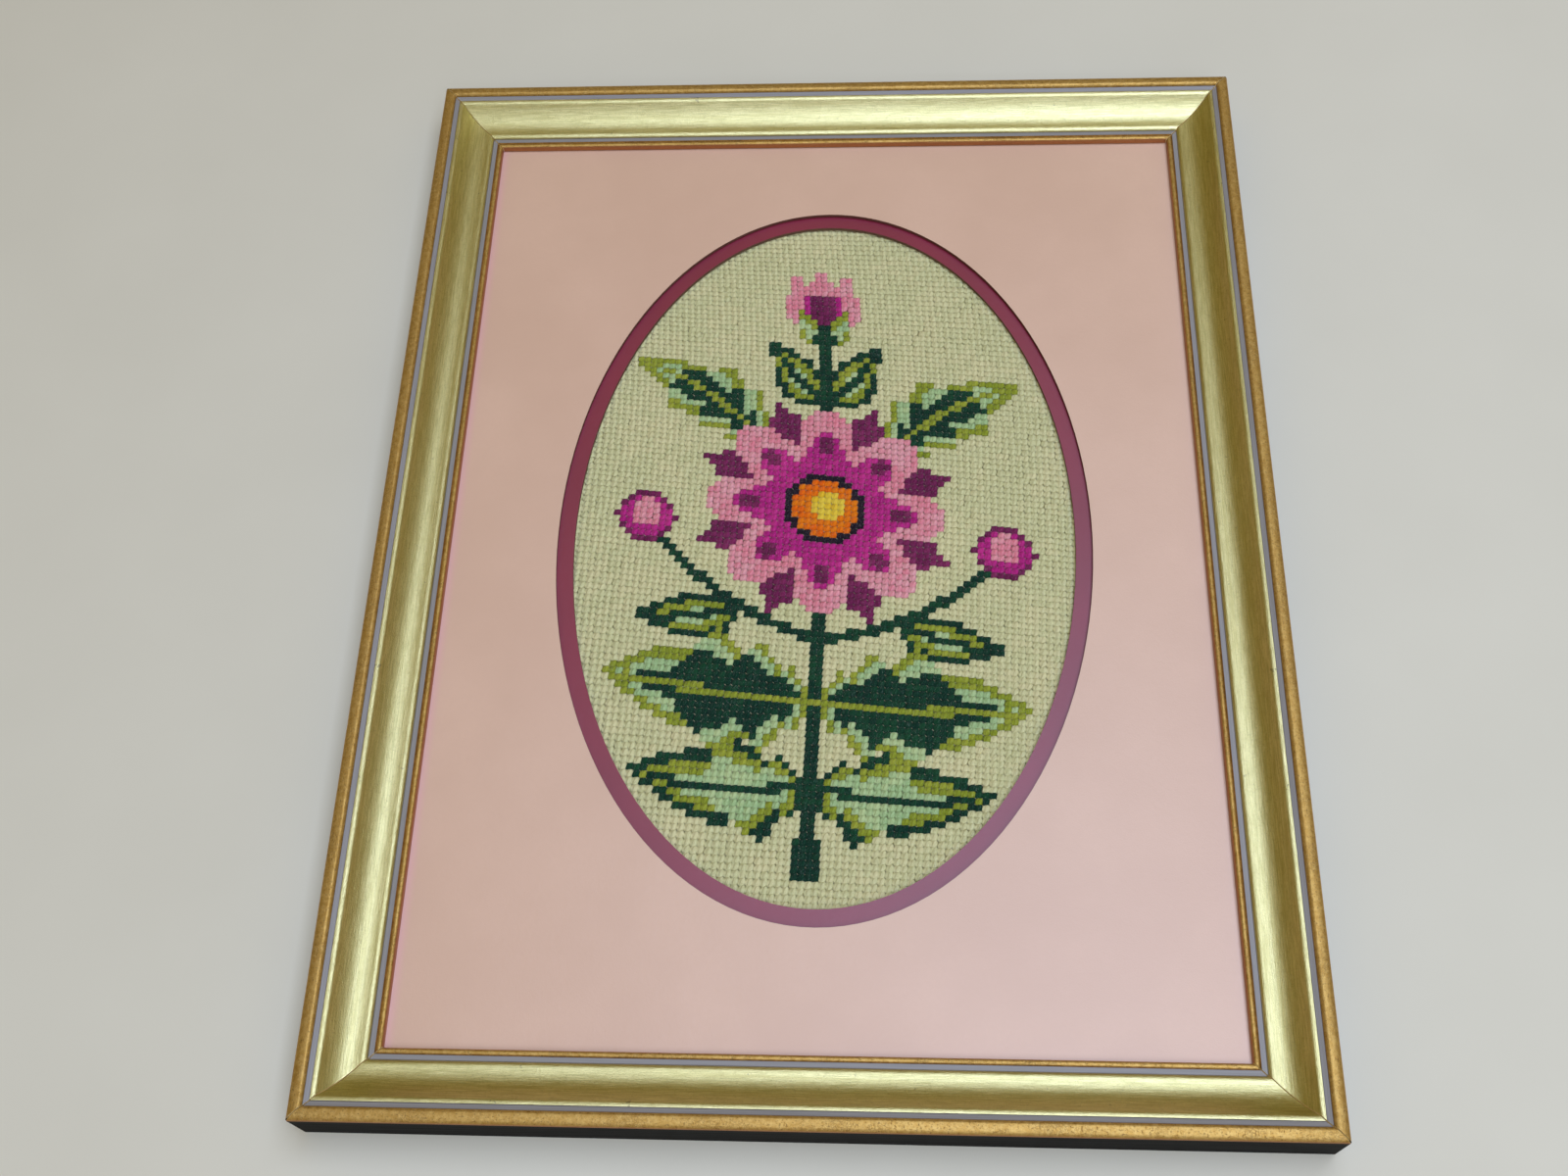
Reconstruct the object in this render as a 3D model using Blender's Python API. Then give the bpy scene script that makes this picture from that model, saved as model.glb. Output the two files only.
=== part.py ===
"""A stitched needlepoint canvas behind two oval card mats, in a gilded moulding frame.

The picture lies face up. The origin is the centre of its underside: +X is the picture's
right, +Y its top and +Z the way it faces. All sizes are in metres.
"""
import math

import bmesh
import bpy
from mathutils import Matrix

MM = 0.001

# Driving sizes of the picture
SIGHT_WIDTH = 215.9 * MM        # the rectangle that the moulding leaves in view
SIGHT_HEIGHT = 292.1 * MM
SHEET_WIDTH = 228.6 * MM        # cards, canvas and board are all cut to this size
SHEET_HEIGHT = 304.8 * MM
GAP = 0.3 * MM                  # between any two pieces

# Layers, from the back of the frame to its front
BOARD_THICKNESS = 2.5 * MM
CANVAS_THICKNESS = 1.6 * MM     # the woven canvas with the wool stitched over it
CARD_THICKNESS = 1.1 * MM
BOARD_BOTTOM = GAP
CANVAS_BOTTOM = BOARD_BOTTOM + BOARD_THICKNESS + GAP
INNER_CARD_BOTTOM = CANVAS_BOTTOM + CANVAS_THICKNESS + GAP
OUTER_CARD_BOTTOM = INNER_CARD_BOTTOM + CARD_THICKNESS + GAP
CARD_FACE = OUTER_CARD_BOTTOM + CARD_THICKNESS

# Oval windows: full width, full height, and how far the centre lies above the sight's centre
OUTER_WINDOW = (153.9 * MM, 231.8 * MM, 2.6 * MM)
INNER_WINDOW = (144.6 * MM, 222.3 * MM, 3.1 * MM)
WINDOW_POINTS = 128

# The moulding, across its width from the sight edge (0) to the outer edge. Heights are
# above the face of the outer card.
MOULDING_WIDTH = 19.5 * MM
INNER_BEAD_WIDTH = 1.65 * MM
INNER_BEAD_TOP = 2.35 * MM
INNER_LINE = (1.7 * MM, 3.1 * MM, 2.45 * MM)        # painted flat: from, to, height
SHOULDER = (3.15 * MM, 4.5 * MM, 3.45 * MM)         # rounded step up: from, to, top
HOLLOW_BEND = (6.4 * MM, 3.4 * MM)                  # the two points that bend the hollow, which
HOLLOW_RISE = (9.2 * MM, 3.2 * MM)                  # starts nearly flat and rises as a cove
RIDGE_START = (13.0 * MM, 8.14 * MM)                # the hollow ends in a soft ridge
RIDGE_BENDS = ((13.3 * MM, 8.5 * MM), (13.85 * MM, 8.65 * MM))
RIDGE_END = (14.4 * MM, 8.6 * MM)
OUTER_LINE = (14.5 * MM, 15.85 * MM)
OUTER_LINE_HEIGHTS = (8.4 * MM, 8.95 * MM)          # this painted band leans up to the bead
OUTER_BEAD_FOOT = 8.5 * MM
OUTER_BEAD_TOP = (16.9 * MM, 10.0 * MM)             # its crest lies near the painted band
OUTER_BEAD_BENDS = ((18.3 * MM, 10.0 * MM), (19.5 * MM, 9.75 * MM))
FOOT_ROUND = 0.6 * MM                               # eased edge along the outer underside

ARC_STEPS = 12
FINE_STEPS = 6
HOLLOW_STEPS = 26


def clear_scene():
    for old in list(bpy.data.objects):
        bpy.data.objects.remove(old, do_unlink=True)


def finish(name, color, roughness, metallic):
    """A plain Principled material."""
    material = bpy.data.materials.new(name)
    material.use_nodes = True
    shader = material.node_tree.nodes["Principled BSDF"]
    shader.inputs["Base Color"].default_value = (*color, 1.0)
    shader.inputs["Roughness"].default_value = roughness
    shader.inputs["Metallic"].default_value = metallic
    return material


def arc(center, radii, start, end, steps):
    """Points along an elliptical arc, with its ends; the angles are in degrees."""
    points = []
    for step in range(steps + 1):
        angle = math.radians(start + (end - start) * step / steps)
        x = center[0] + radii[0] * math.cos(angle)
        y = center[1] + radii[1] * math.sin(angle)
        points.append((x, y))
    return points


def bend(start, pull_start, pull_end, end, steps):
    """Points along a cubic curve, with its ends."""
    points = []
    for step in range(steps + 1):
        t = step / steps
        s = 1.0 - t
        weights = (s ** 3, 3.0 * s * s * t, 3.0 * s * t * t, t ** 3)
        corners = (start, pull_start, pull_end, end)
        x = sum(w * corner[0] for w, corner in zip(weights, corners))
        y = sum(w * corner[1] for w, corner in zip(weights, corners))
        points.append((x, y))
    return points


def oval(window):
    """Points round an oval window."""
    width, height, center_y = window
    ring = arc((0.0, center_y), (width / 2, height / 2), 0.0, 360.0, WINDOW_POINTS)
    return ring[:-1]


def rectangle(width, height):
    x, y = width / 2, height / 2
    return [(-x, -y), (x, -y), (x, y), (-x, y)]


def moulding_section():
    """The moulding's outline: x outwards from the sight edge, y up from the underside."""
    bead_radius = INNER_BEAD_WIDTH / 2
    bead_center = (bead_radius, INNER_BEAD_TOP - bead_radius)
    inner_bead = arc(bead_center, (bead_radius, bead_radius), 180.0, 25.0, ARC_STEPS)

    line_start, line_end, line_height = INNER_LINE
    inner_line = [(line_start, line_height), (line_end, line_height)]

    step_start, step_end, step_top = SHOULDER
    step_radii = (step_end - step_start, step_top - line_height)
    shoulder = arc((step_end, line_height), step_radii, 180.0, 90.0, ARC_STEPS)

    hollow = bend(shoulder[-1], HOLLOW_BEND, HOLLOW_RISE, RIDGE_START, HOLLOW_STEPS)
    ridge = bend(RIDGE_START, *RIDGE_BENDS, RIDGE_END, FINE_STEPS)

    outer_line = list(zip(OUTER_LINE, OUTER_LINE_HEIGHTS))
    crest_x, crest_y = OUTER_BEAD_TOP
    flank_center = (crest_x, OUTER_LINE_HEIGHTS[1])
    flank_radii = (crest_x - OUTER_LINE[1], crest_y - OUTER_LINE_HEIGHTS[1])
    flank = arc(flank_center, flank_radii, 165.0, 90.0, FINE_STEPS)
    outer_edge = (MOULDING_WIDTH, OUTER_BEAD_FOOT)
    crown = bend(OUTER_BEAD_TOP, *OUTER_BEAD_BENDS, outer_edge, ARC_STEPS)

    face = inner_bead + inner_line + shoulder + hollow[1:] + ridge[1:]
    face = face + outer_line + flank + crown[1:]
    raised = [(x, y + CARD_FACE) for x, y in face]

    foot_center = (MOULDING_WIDTH - FOOT_ROUND, FOOT_ROUND)
    foot = arc(foot_center, (FOOT_ROUND, FOOT_ROUND), 0.0, -90.0, FINE_STEPS)
    rebate = (SHEET_WIDTH - SIGHT_WIDTH) / 2 + GAP
    lip_underside = CARD_FACE + GAP
    back = [(rebate, 0.0), (rebate, lip_underside), (0.0, lip_underside)]
    return raised + foot + back


def flat_curve(name, outlines, thickness):
    """A filled flat curve of closed outlines, thick along its local Z."""
    curve = bpy.data.curves.new(name, "CURVE")
    curve.dimensions = "2D"
    curve.fill_mode = "BOTH"
    curve.extrude = thickness / 2
    for outline in outlines:
        spline = curve.splines.new("POLY")
        spline.points.add(len(outline) - 1)
        for point, (x, y) in zip(spline.points, outline):
            point.co = (x, y, 0.0, 1.0)
        spline.use_cyclic_u = True
    return curve


def add_object(name, data, material, collection):
    piece = bpy.data.objects.new(name, data)
    piece.data.materials.append(material)
    collection.objects.link(piece)
    return piece


def rail_mesh(name, sight_length):
    """A length of moulding, lying along X with its outer side at -Y, mitred at both ends."""
    half = sight_length / 2
    curve = flat_curve(name, [moulding_section()], sight_length)
    blank = bpy.data.objects.new(name, curve)
    bpy.context.scene.collection.objects.link(blank)
    evaluated = blank.evaluated_get(bpy.context.evaluated_depsgraph_get())
    mesh = bpy.data.meshes.new_from_object(evaluated)
    mesh.name = name
    bpy.data.objects.remove(blank, do_unlink=True)
    bpy.data.curves.remove(curve)

    saw_cut = GAP / 2 * math.sqrt(2.0)
    shaped = bmesh.new()
    shaped.from_mesh(mesh)
    bmesh.ops.remove_doubles(shaped, verts=shaped.verts, dist=0.001 * MM)
    for corner in shaped.verts:
        outwards = corner.co.x
        corner.co.z = math.copysign(half + outwards - saw_cut, corner.co.z)
    lay_down = Matrix(((0, 0, -1, 0), (-1, 0, 0, 0), (0, 1, 0, 0), (0, 0, 0, 1)))
    bmesh.ops.transform(shaped, matrix=lay_down, verts=shaped.verts)
    shaped.to_mesh(mesh)
    shaped.free()
    mesh.shade_smooth()
    mesh.set_sharp_from_angle(angle=math.radians(35.0))
    return mesh


def add_frame(collection):
    """Four mitred rails round the sight, two long and two short."""
    gilt = finish("gilt_moulding", (0.62, 0.50, 0.20), 0.35, 0.85)
    long_mesh = rail_mesh("long_rail", SIGHT_HEIGHT)
    short_mesh = rail_mesh("short_rail", SIGHT_WIDTH)
    sides = (
        ("rail_bottom", short_mesh, (0.0, -SIGHT_HEIGHT / 2), 0.0),
        ("rail_right", long_mesh, (SIGHT_WIDTH / 2, 0.0), 90.0),
        ("rail_top", short_mesh, (0.0, SIGHT_HEIGHT / 2), 180.0),
        ("rail_left", long_mesh, (-SIGHT_WIDTH / 2, 0.0), 270.0),
    )
    for mesh in (long_mesh, short_mesh):
        mesh.materials.clear()
        mesh.materials.append(gilt)
    for name, mesh, (x, y), turn in sides:
        rail = bpy.data.objects.new(name, mesh)
        rail.location = (x, y, 0.0)
        rail.rotation_euler = (0.0, 0.0, math.radians(turn))
        collection.objects.link(rail)


def add_card(name, window, bottom, color, collection):
    """A rectangle of card with an oval window cut in it."""
    card = finish(name + "_card", color, 0.9, 0.0)
    outlines = [rectangle(SHEET_WIDTH, SHEET_HEIGHT), oval(window)]
    curve = flat_curve(name, outlines, CARD_THICKNESS)
    mat = add_object(name, curve, card, collection)
    mat.location.z = bottom + CARD_THICKNESS / 2


def add_sheet(name, bottom, thickness, material, collection):
    """A plain flat sheet that fills the rebate."""
    bpy.ops.mesh.primitive_cube_add(size=1.0)
    sheet = bpy.context.object
    sheet.name = name
    sheet.data.name = name
    sheet.data.transform(Matrix.Diagonal((SHEET_WIDTH, SHEET_HEIGHT, thickness, 1.0)))
    sheet.location = (0.0, 0.0, bottom + thickness / 2)
    sheet.data.materials.append(material)
    for owner in list(sheet.users_collection):
        owner.objects.unlink(sheet)
    collection.objects.link(sheet)


def build():
    clear_scene()
    collection = bpy.data.collections.new("framed_needlepoint_panel")
    bpy.context.scene.collection.children.link(collection)
    add_frame(collection)
    add_card("mat_outer", OUTER_WINDOW, OUTER_CARD_BOTTOM, (0.60, 0.42, 0.38), collection)
    add_card("mat_inner", INNER_WINDOW, INNER_CARD_BOTTOM, (0.24, 0.05, 0.10), collection)
    wool = finish("canvas_wool", (0.52, 0.50, 0.33), 0.95, 0.0)
    add_sheet("canvas", CANVAS_BOTTOM, CANVAS_THICKNESS, wool, collection)
    board = finish("backing_board", (0.36, 0.25, 0.15), 0.85, 0.0)
    add_sheet("backing", BOARD_BOTTOM, BOARD_THICKNESS, board, collection)


build()
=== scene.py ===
# %% [markdown]
# # A needlepoint panel behind two oval cards, in a gilded frame
#
# The real thing is a piece of mesh canvas stitched in wool, stretched flat over a board. Two
# sheets of card with oval windows lie on it, a plum one below and a pink one above, and a narrow
# gilded moulding holds everything together. The solids of the frame, the cards and the board
# come ready made at their real size, so this script only dresses them, and stitches the canvas.
#
# Everything is in metres. The picture lies face up: X runs to its right, Y to its top, Z out of
# its face.

# %% Load the fixed frame
import math

import bpy
import numpy as np
from mathutils import Matrix, Vector


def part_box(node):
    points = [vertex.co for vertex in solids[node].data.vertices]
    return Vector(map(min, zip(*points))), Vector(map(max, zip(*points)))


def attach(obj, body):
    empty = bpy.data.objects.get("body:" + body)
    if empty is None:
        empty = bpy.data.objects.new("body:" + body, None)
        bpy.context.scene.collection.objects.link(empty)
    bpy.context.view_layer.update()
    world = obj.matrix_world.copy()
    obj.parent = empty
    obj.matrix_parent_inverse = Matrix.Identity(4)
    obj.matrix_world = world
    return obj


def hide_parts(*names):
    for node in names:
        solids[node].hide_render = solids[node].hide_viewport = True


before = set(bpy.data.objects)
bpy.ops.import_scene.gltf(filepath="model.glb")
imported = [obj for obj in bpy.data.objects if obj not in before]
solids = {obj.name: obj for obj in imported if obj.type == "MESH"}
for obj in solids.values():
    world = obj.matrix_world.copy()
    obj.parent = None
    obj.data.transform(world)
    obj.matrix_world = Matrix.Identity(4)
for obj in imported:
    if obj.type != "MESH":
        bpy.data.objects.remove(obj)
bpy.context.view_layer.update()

MM = 0.001
print("Solids in the frame:", ", ".join(sorted(solids)))

# %% [markdown]
# The main sizes are measured from the solids instead of being typed in. The inner faces of the
# rails give the sight, which is the rectangle that the moulding leaves in view, and their outer
# faces give the moulding's width. The ring of points round the hole in the lower card gives the
# oval window that the needlework is seen through.

# %% Measure the sight and the window
SIGHT_HALF_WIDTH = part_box("rail_right")[0].x
SIGHT_HALF_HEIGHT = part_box("rail_top")[0].y
RAIL_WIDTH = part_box("rail_right")[1].x - SIGHT_HALF_WIDTH


def window_of(card):
    """The centre height and the two half sizes of the oval hole in a card."""
    points = np.array([v.co for v in solids[card].data.vertices])
    rim = points[abs(points[:, 0]) < 0.8 * SIGHT_HALF_WIDTH]
    low, high = rim.min(0), rim.max(0)
    return (high[1] + low[1]) / 2, (high[0] - low[0]) / 2, (high[1] - low[1]) / 2


window_center, window_half_width, window_half_height = window_of("mat_inner")
print(f"Sight {2000 * SIGHT_HALF_WIDTH:.1f} x {2000 * SIGHT_HALF_HEIGHT:.1f} mm")
print(f"Moulding {1000 * RAIL_WIDTH:.2f} mm wide")
print(f"Window {2000 * window_half_width:.1f} x {2000 * window_half_height:.1f} mm")

# %% [markdown]
# The photograph was taken from above and a little below the picture, with the camera turned by a
# few degrees. A camera in Blender looks along its own -Z, so it is aimed first and then rolled
# about that axis.

# %% Place the camera
CAMERA_PLACE = Vector((18.1, -234.6, 437.7)) * MM
CAMERA_AIM = Vector((-10.7, -15.2, 7.5)) * MM
CAMERA_ROLL = math.radians(-6.53)
CAMERA_LENS = 39.14


def place_camera():
    data = bpy.data.cameras.new("camera")
    data.lens = CAMERA_LENS
    data.sensor_width = 36.0
    data.clip_start = 0.01
    camera = bpy.data.objects.new("camera", data)
    bpy.context.scene.collection.objects.link(camera)
    aim = (CAMERA_AIM - CAMERA_PLACE).to_track_quat("-Z", "Y").to_matrix().to_4x4()
    camera.matrix_world = Matrix.Translation(CAMERA_PLACE) @ aim @ Matrix.Rotation(CAMERA_ROLL, 4, "Z")
    bpy.context.scene.camera = camera
    return camera


camera = place_camera()
print("Camera looks from", [round(x, 3) for x in camera.location])

# %% [markdown]
# A shader is a small network of nodes. Written out in full, each node takes several lines, so a
# few helpers keep the recipes below short: `add` makes a node and fills its sockets with numbers
# or with links, and the others wrap the kinds that come up again and again.

# %% Helpers for shader nodes
def color(red, green, blue):
    """A colour as it looks on screen, 0 to 255, turned into the linear light that shaders use."""
    linear = []
    for value in (red, green, blue):
        share = value / 255
        linear.append(share / 12.92 if share <= 0.04045 else ((share + 0.055) / 1.055) ** 2.4)
    return (*linear, 1.0)


def add(tree, kind, sockets=None, **settings):
    """A new node; sockets maps each input to a number, a colour or another node's output."""
    made = tree.nodes.new("ShaderNode" + kind)
    for name, value in settings.items():
        setattr(made, name, value)
    for name, value in (sockets or {}).items():
        if isinstance(value, bpy.types.NodeSocket):
            tree.links.new(value, made.inputs[name])
        else:
            made.inputs[name].default_value = value
    return made


def calc(tree, operation, first, second=0.0, third=0.0):
    """One step of arithmetic."""
    return add(tree, "Math", {0: first, 1: second, 2: third}, operation=operation).outputs[0]


def blend_colors(tree, share, first, second, way="MIX"):
    """From the first colour to the second as share goes from 0 to 1."""
    made = add(tree, "Mix", {0: share, 6: first, 7: second}, data_type="RGBA", blend_type=way)
    return made.outputs[2]


def ramp(tree, value, low, high, from_value=0.0, to_value=1.0):
    """value read between low and high, as a smooth step from one number to another."""
    sockets = {"Value": value, "From Min": low, "From Max": high, "To Min": from_value, "To Max": to_value}
    return add(tree, "MapRange", sockets, interpolation_type="SMOOTHSTEP").outputs[0]


def cloud(tree, place, scale, detail=2.0, roughness=0.5):
    """Soft random mottling, 0 to 1, with about as many spots to the metre as scale says."""
    sockets = {"Vector": place, "Scale": scale, "Detail": detail, "Roughness": roughness}
    return add(tree, "TexNoise", sockets).outputs["Fac"]


def stretched(tree, place, along_x, along_y, along_z):
    """The same place measured with a different scale along each axis."""
    sockets = {0: place, 1: (along_x, along_y, along_z)}
    return add(tree, "VectorMath", sockets, operation="MULTIPLY").outputs[0]


def relief(tree, height, depth):
    """Turns a height into the tilt of the surface; depth is the full height in metres."""
    return add(tree, "Bump", {"Height": height, "Distance": depth, "Strength": 1.0}).outputs[0]


def new_finish(name):
    """An empty material with its tree, its shader and the place of each point in metres."""
    material = bpy.data.materials.new(name)
    material.use_nodes = True
    tree = material.node_tree
    shader = tree.nodes["Principled BSDF"]
    place = tree.nodes.new("ShaderNodeTexCoord").outputs["Object"]
    return material, tree, shader, place


def join(tree, output, shader, name):
    tree.links.new(output, shader.inputs[name])


def ready(material):
    """Prints how many nodes a finish took, and hands it on."""
    print(material.name, "has", len(material.node_tree.nodes), "nodes")
    return material


print("Shader helpers ready")

# %% [markdown]
# The stage is a plain pale floor. Far from the picture it goes over into the colour of a pale
# studio wall: its own colour fades to black there, and a glow in the wall's colour takes over,
# so that the far edge of the floor hardly shows from low down.

# %% Lay the floor
FLOOR_SIZE = 6.0
FLOOR_DIM, FLOOR_LIT = color(222, 212, 188), color(230, 220, 196)
FADE_START, FADE_END = 0.45, 1.5    # how far out the floor goes over into the wall
WALL_FOOT = (0.40, 0.385, 0.36)


def lay_floor():
    bpy.ops.mesh.primitive_grid_add(x_subdivisions=8, y_subdivisions=8, size=FLOOR_SIZE)
    floor = bpy.context.object
    floor.name = "floor"
    material, tree, shader, place = new_finish("pale_floor")
    mottle = cloud(tree, place, 18.0, 4.0)
    paint = blend_colors(tree, mottle, FLOOR_DIM, FLOOR_LIT)
    distance = add(tree, "VectorMath", {0: place}, operation="LENGTH").outputs["Value"]
    far = ramp(tree, distance, FADE_START, FADE_END)
    black = (0.0, 0.0, 0.0, 1.0)
    join(tree, blend_colors(tree, far, paint, black), shader, "Base Color")
    join(tree, blend_colors(tree, far, black, (*WALL_FOOT, 1.0)), shader, "Emission Color")
    shader.inputs["Emission Strength"].default_value = 1.0
    shader.inputs["Roughness"].default_value = 0.85
    floor.data.materials.append(material)
    return floor


floor = lay_floor()
print("Stage set:", floor.name)

# %% [markdown]
# The gilding in the photograph works like a row of mirrors, so the lamps stand where its bright
# and dim stretches ask for them. One long cool lamp starts overhead, a little to the right, and
# runs back past the camera. A lower one beyond it lights the steep part of the top rail. The sky
# is dim and warm, so the faces of the moulding that mirror the sky instead of a lamp fall off to
# a deep gold. A camera that looks past the floor sees the pale wall in the sky's place.

# %% Hang the lamps and light the sky
LAMP_PLACE = Vector((0.34, -0.52, 1.5))
LAMP_SIZE = (0.9, 2.3)
LAMP_POWER = 24.0
LAMP_TINT = (0.8, 1.0, 1.45)
BACK_PLACE = Vector((0.45, -2.2, 1.05))
BACK_SIZE = (1.4, 0.8)
BACK_POWER = 2.0
HORIZON = (0.158, 0.113, 0.008)
ZENITH = (0.235, 0.172, 0.02)
WALL_TOP = (0.50, 0.49, 0.47)


def hang_lamp(name, place, size, power, aim=None):
    """A soft rectangular lamp that faces straight down, or at the place given as its aim."""
    data = bpy.data.lights.new(name, "AREA")
    data.shape = "RECTANGLE"
    data.size, data.size_y = size
    data.energy = power
    data.color = LAMP_TINT
    lamp = bpy.data.objects.new(name, data)
    lamp.location = place
    if aim is not None:
        lamp.rotation_euler = (aim - place).to_track_quat("-Z", "Y").to_euler()
    bpy.context.scene.collection.objects.link(lamp)
    return lamp


def light_sky():
    world = bpy.data.worlds.new("studio")
    world.use_nodes = True
    tree = world.node_tree
    direction = tree.nodes.new("ShaderNodeTexCoord").outputs["Generated"]
    height = add(tree, "SeparateXYZ", {0: direction}).outputs[2]
    sky = blend_colors(tree, ramp(tree, height, 0.0, 0.9), (*HORIZON, 1.0), (*ZENITH, 1.0))
    wall = blend_colors(tree, ramp(tree, height, 0.0, 0.2), (*WALL_FOOT, 1.0), (*WALL_TOP, 1.0))
    seen = add(tree, "LightPath").outputs["Is Camera Ray"]
    tree.links.new(blend_colors(tree, seen, sky, wall), tree.nodes["Background"].inputs["Color"])
    bpy.context.scene.world = world


for lamp in (hang_lamp("overhead_lamp", LAMP_PLACE, LAMP_SIZE, LAMP_POWER),
             hang_lamp("back_lamp", BACK_PLACE, BACK_SIZE, BACK_POWER, Vector((0.0, 0.0, 0.0)))):
    print(lamp.name, "gives", lamp.data.energy, "watts")
light_sky()
bpy.context.scene.view_settings.view_transform = "Standard"

# %% [markdown]
# The moulding's finishes run in bands along each rail: bright gilding over the hollow, darker
# gilding on the two beads, a painted line beside each bead. All of them need to know how far out
# from the sight edge a point lies, and how far along its rail. A node group works both out from
# the place alone, so that the bands turn the corner at the mitre by themselves.

# %% A node group for the rails
def rail_measure():
    """Metres outwards from the sight edge, metres along the rail, and metres up."""
    group = bpy.data.node_groups.new("rail_measure", "ShaderNodeTree")
    for name in ("Out", "Along", "Height"):
        group.interface.new_socket(name, in_out="OUTPUT", socket_type="NodeSocketFloat")
    ends = group.nodes.new("NodeGroupOutput")
    place = group.nodes.new("ShaderNodeTexCoord").outputs["Object"]
    parts = add(group, "SeparateXYZ", {0: place})
    x, y, z = parts.outputs[0], parts.outputs[1], parts.outputs[2]
    out_x = calc(group, "SUBTRACT", calc(group, "ABSOLUTE", x), SIGHT_HALF_WIDTH)
    out_y = calc(group, "SUBTRACT", calc(group, "ABSOLUTE", y), SIGHT_HALF_HEIGHT)
    on_side = calc(group, "GREATER_THAN", out_x, out_y)
    group.links.new(calc(group, "MAXIMUM", out_x, out_y), ends.inputs["Out"])
    side_part = calc(group, "MULTIPLY", y, on_side)
    along = calc(group, "MULTIPLY_ADD", x, calc(group, "SUBTRACT", 1.0, on_side), side_part)
    group.links.new(along, ends.inputs["Along"])
    group.links.new(z, ends.inputs["Height"])
    return group


RAIL_MEASURE = rail_measure()


def measured(tree):
    """Out for a rail's finish, and the place in the rail's own directions."""
    node = tree.nodes.new("ShaderNodeGroup")
    node.node_tree = RAIL_MEASURE
    out, along, height = node.outputs
    place = add(tree, "CombineXYZ", {0: along, 1: out, 2: height}).outputs[0]
    return out, place


print("Rail measure group has", len(RAIL_MEASURE.nodes), "nodes")

# %% [markdown]
# ## Gilding
#
# The hollow looks like leaf or bronze powder over a toned ground, burnished along the rail. That
# leaves very fine streaks in one direction, which a noise stretched along the rail imitates, and
# a soft mottle on top. It is a metal to the eye, so the metallic value is full, and the streaks
# go into the colour and the relief together. A clear lacquer is added over the leaf, as on many
# mouldings. It mirrors the lamps without the gold's tint, which makes the bright parts paler
# than the dim ones.

# %% The bright gilding
LEAF_DIM, LEAF_LIT = color(193, 180, 90), color(239, 225, 147)
LEAF_TONED, LEAF_WORN, LEAF_PIT = color(200, 182, 76), color(188, 171, 76), color(122, 101, 30)
LACQUER_ROUGHNESS, LACQUER_IOR = 0.36, 2.1


def bright_gilding():
    material, tree, shader, _ = new_finish("bright_gilding")
    _, place = measured(tree)
    fine = cloud(tree, stretched(tree, place, 150.0, 3600.0, 3600.0), 1.0, 4.0, 0.7)
    broad = cloud(tree, stretched(tree, place, 22.0, 1100.0, 1100.0), 1.0, 2.0, 0.5)
    mottle = cloud(tree, place, 900.0, 4.0, 0.7)
    grain = cloud(tree, stretched(tree, place, 1700.0, 3200.0, 3200.0), 1.0, 3.0, 0.7)
    leaf = blend_colors(tree, ramp(tree, fine, 0.3, 0.7), LEAF_DIM, LEAF_LIT)
    toned = blend_colors(tree, ramp(tree, broad, 0.4, 0.7, 0.0, 0.4), leaf, LEAF_TONED)
    worn = ramp(tree, mottle, 0.50, 0.72, 0.0, 0.45)
    paint = blend_colors(tree, worn, toned, LEAF_WORN)
    dull = calc(tree, "MULTIPLY_ADD", mottle, 0.2, 0.3)
    join(tree, dull, shader, "Roughness")
    pits = ramp(tree, grain, 0.56, 0.72)
    chips = ramp(tree, cloud(tree, place, 330.0, 3.0, 0.7), 0.70, 0.74, 0.0, 0.6)
    pits = calc(tree, "MAXIMUM", chips, calc(tree, "MULTIPLY", pits, 0.4))
    paint = blend_colors(tree, pits, paint, LEAF_PIT)
    join(tree, paint, shader, "Base Color")
    height = calc(tree, "MULTIPLY_ADD", fine, 0.35, calc(tree, "MULTIPLY", grain, 1.0))
    join(tree, relief(tree, height, 0.11 * MM), shader, "Normal")
    join(tree, relief(tree, height, 0.09 * MM), shader, "Coat Normal")
    shader.inputs["Metallic"].default_value = 1.0
    shader.inputs["Coat Weight"].default_value = 1.0
    shader.inputs["Coat Roughness"].default_value = LACQUER_ROUGHNESS
    shader.inputs["Coat IOR"].default_value = LACQUER_IOR
    return material


rail_finishes = {"bright": ready(bright_gilding())}

# %% [markdown]
# The beads are rubbed darker and more orange than the hollow, and their gilding has dried into
# a fine net of cracks with dark specks. The cracks are the cell borders of a Voronoi pattern.
# A reddish brown is painted in along two edges of the beads: by the sight and along the outermost edge.

# %% The bead gilding
BEAD_DIM, BEAD_LIT = color(186, 141, 64), color(214, 174, 98)
BEAD_CRACK, REDDISH_EDGE = color(92, 56, 24), color(170, 102, 68)
CRACK_BEND = 2.4 * MM


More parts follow.
